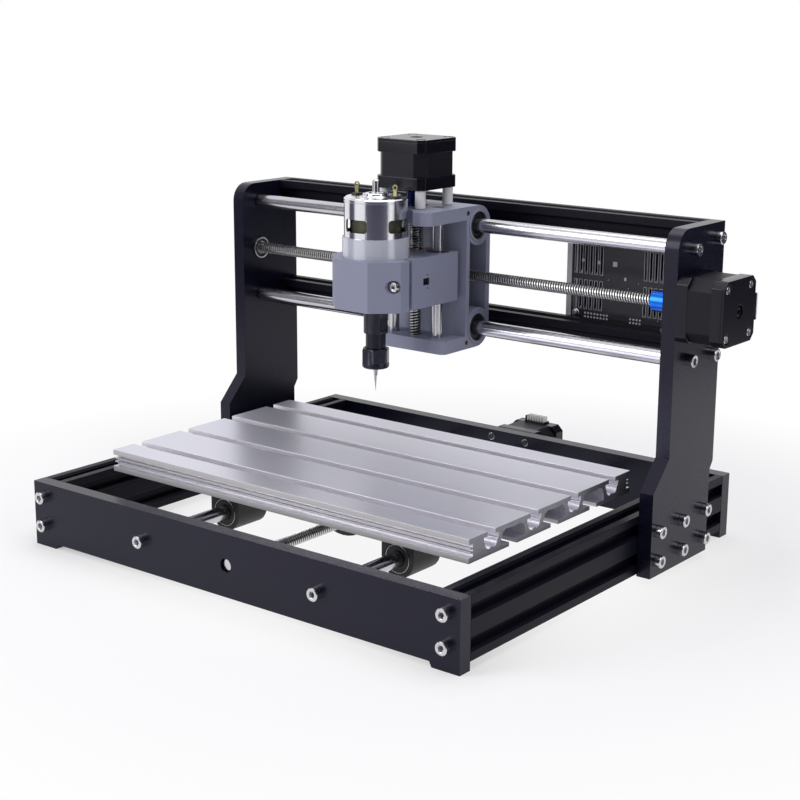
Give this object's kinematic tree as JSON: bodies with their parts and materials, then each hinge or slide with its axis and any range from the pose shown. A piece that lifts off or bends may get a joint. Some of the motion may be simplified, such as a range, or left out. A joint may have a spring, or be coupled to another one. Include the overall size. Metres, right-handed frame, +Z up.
{
  "type": "cnc router",
  "caption": "Desktop three-axis router: slotted bed slides in a base frame under a fixed gantry that carries a screw-driven X carriage, a Z slide and a collet spindle.",
  "frame": {"origin": "middle of the overall box, on the surface that the four feet stand on", "axes": "+X from the bearing side of the gantry to its motor side, +Y from the front plate to the back, +Z up along the spindle"},
  "size_m": [0.419, 0.3542, 0.2764],
  "materials": {
    "black_sheet": "black phenolic sheet, satin face, sawn edges",
    "black_extrusion": "black anodised, drawn along its length",
    "bed_aluminium": "clear anodised, fine drawing lines",
    "ground_rod": "hard chromed, centreless ground",
    "bearing_steel": "bright turned steel",
    "lead_screw": "rolled trapezoidal thread",
    "fastener": "zinc plated",
    "motor_black": "black enamelled caps and laminations",
    "grey_plastic": "moulded blue-grey nylon, fine mould grain",
    "pale_sleeve": "thin translucent liner",
    "white_nylon": "natural white nylon",
    "blue_anodised": "blue anodised, turned",
    "brass": "turned brass",
    "spindle_can": "bright drawn steel can",
    "black_oxide": "blackened steel",
    "bit_carbide": "ground carbide",
    "circuit_board": "black solder mask",
    "clear_plate": "pale acrylic"
  },
  "bodies": {
    "frame": {"front_plate": "black_sheet", "rear_plate": "black_sheet", "left_side_profile": "black_extrusion", "right_side_profile": "black_extrusion", "left_gantry_plate": "black_sheet", "right_gantry_plate": "black_sheet", "upper_gantry_profile": "black_extrusion", "lower_gantry_profile": "black_extrusion", "upper_x_rod": "ground_rod", "lower_x_rod": "ground_rod", "left_y_rod": "ground_rod", "right_y_rod": "ground_rod", "x_motor": "motor_black", "y_motor": "motor_black", "x_screw_bearing": "bearing_steel", "y_screw_bearing": "bearing_steel", "control_board": "circuit_board", "board_backplate": "clear_plate"},
    "bed": {"t_slot_bed": "bed_aluminium", "front_left_slider": "black_sheet", "front_right_slider": "black_sheet", "rear_left_slider": "black_sheet", "rear_right_slider": "black_sheet", "front_left_bearing": "bearing_steel", "front_right_bearing": "bearing_steel", "rear_left_bearing": "bearing_steel", "rear_right_bearing": "bearing_steel", "bed_nut_block": "black_sheet", "bed_nut": "brass"},
    "y_screw": {"y_lead_screw": "lead_screw", "y_coupler": "blue_anodised", "y_motor_shaft": "bearing_steel"},
    "x_screw": {"x_lead_screw": "lead_screw", "x_coupler": "blue_anodised", "x_motor_shaft": "bearing_steel"},
    "x_carriage": {"x_carriage": "grey_plastic", "upper_x_bearing": "bearing_steel", "lower_x_bearing": "bearing_steel", "x_nut": "brass", "z_motor": "motor_black", "front_left_spacer": "white_nylon", "front_right_spacer": "white_nylon", "rear_left_spacer": "white_nylon", "rear_right_spacer": "white_nylon", "left_z_rod": "ground_rod", "right_z_rod": "ground_rod"},
    "z_screw": {"z_lead_screw": "lead_screw", "z_coupler": "blue_anodised", "z_motor_shaft": "bearing_steel"},
    "z_slider": {"spindle_holder": "grey_plastic", "spindle_sleeve": "pale_sleeve", "spindle_motor": "spindle_can", "clamp_screw": "fastener", "left_z_bearing": "bearing_steel", "right_z_bearing": "bearing_steel", "z_nut": "brass"},
    "spindle": {"spindle_shaft": "bearing_steel", "collet_chuck": "black_oxide", "collet_nut": "black_oxide", "engraving_bit": "bit_carbide"}
  },
  "joints": [
    {"name": "y_slide", "type": "slide", "parent": "frame", "child": "bed", "axis": [0, 1, 0], "range_m": [-0.0505, 0.1295]},
    {"name": "x_slide", "type": "slide", "parent": "frame", "child": "x_carriage", "axis": [1, 0, 0], "range_m": [-0.135, 0.153]},
    {"name": "z_slide", "type": "slide", "parent": "x_carriage", "child": "z_slider", "axis": [0, 0, 1], "range_m": [-0.025, 0.02]},
    {"name": "spindle_spin", "type": "hinge", "parent": "z_slider", "child": "spindle", "pos_m": [-0.02655, -0.01665, 0.1651], "axis": [0, 0, 1], "continuous": true},
    {"name": "y_screw_turn", "type": "hinge", "parent": "frame", "child": "y_screw", "pos_m": [-0.01715, -0.01715, 0.0247], "axis": [0, 1, 0], "continuous": true},
    {"name": "x_screw_turn", "type": "hinge", "parent": "frame", "child": "x_screw", "pos_m": [-0.01715, 0.05485, 0.1797], "axis": [1, 0, 0], "continuous": true},
    {"name": "z_screw_turn", "type": "hinge", "parent": "x_carriage", "child": "z_screw", "pos_m": [-0.02655, 0.02755, 0.1797], "axis": [0, 0, 1], "continuous": true}
  ],
  "couplings": [
    {"joint": "y_screw_turn", "follows": "y_slide", "rad_per_m": -1570.8},
    {"joint": "x_screw_turn", "follows": "x_slide", "rad_per_m": -1570.8},
    {"joint": "z_screw_turn", "follows": "z_slide", "rad_per_m": -1570.8}
  ]
}
